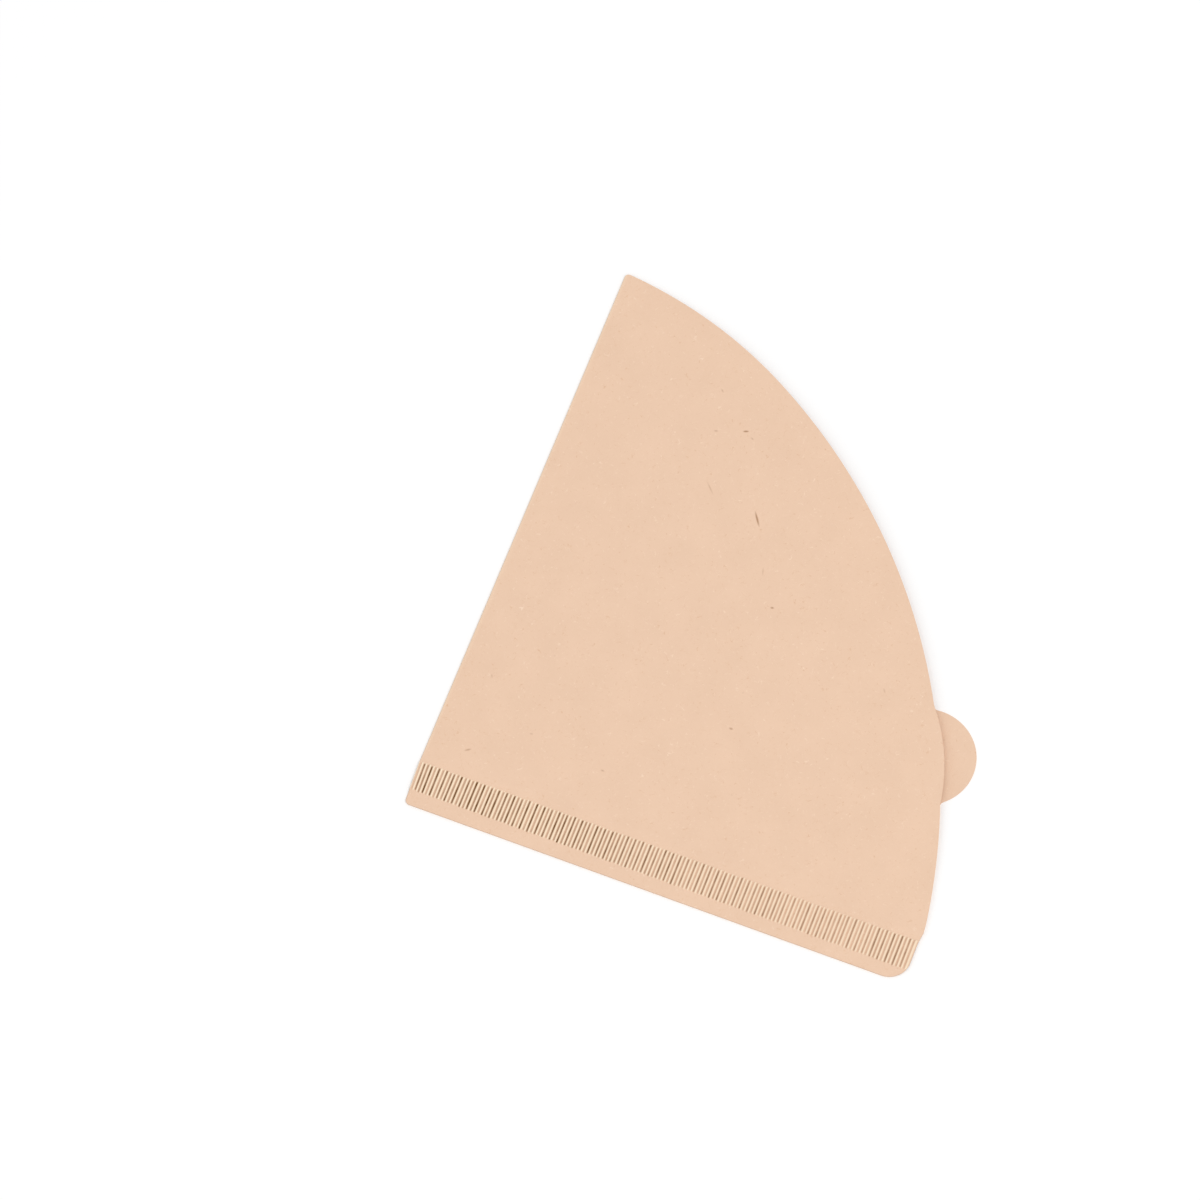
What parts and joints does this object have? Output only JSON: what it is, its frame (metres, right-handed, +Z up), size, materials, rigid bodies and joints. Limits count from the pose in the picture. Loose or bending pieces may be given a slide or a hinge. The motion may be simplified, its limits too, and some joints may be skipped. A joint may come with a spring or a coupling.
{
  "type": "paper coffee filter",
  "caption": "Flat-folded cone coffee filter of unbleached paper with a crimped seam and a pull tab, lying on its lower ply.",
  "frame": {"origin": "On the surface that the filter lies on, under the middle of its outline's box", "axes": "+X runs along the crimped seam from the tip to the mouth, +Y along the fold from the tip to the mouth, +Z up from the lower ply to the upper one"},
  "size_m": [0.1202, 0.1404, 0.0018],
  "materials": {
    "paper": "matt, unbleached"
  },
  "bodies": {
    "root": {"folded_filter": "paper"}
  },
  "joints": []
}
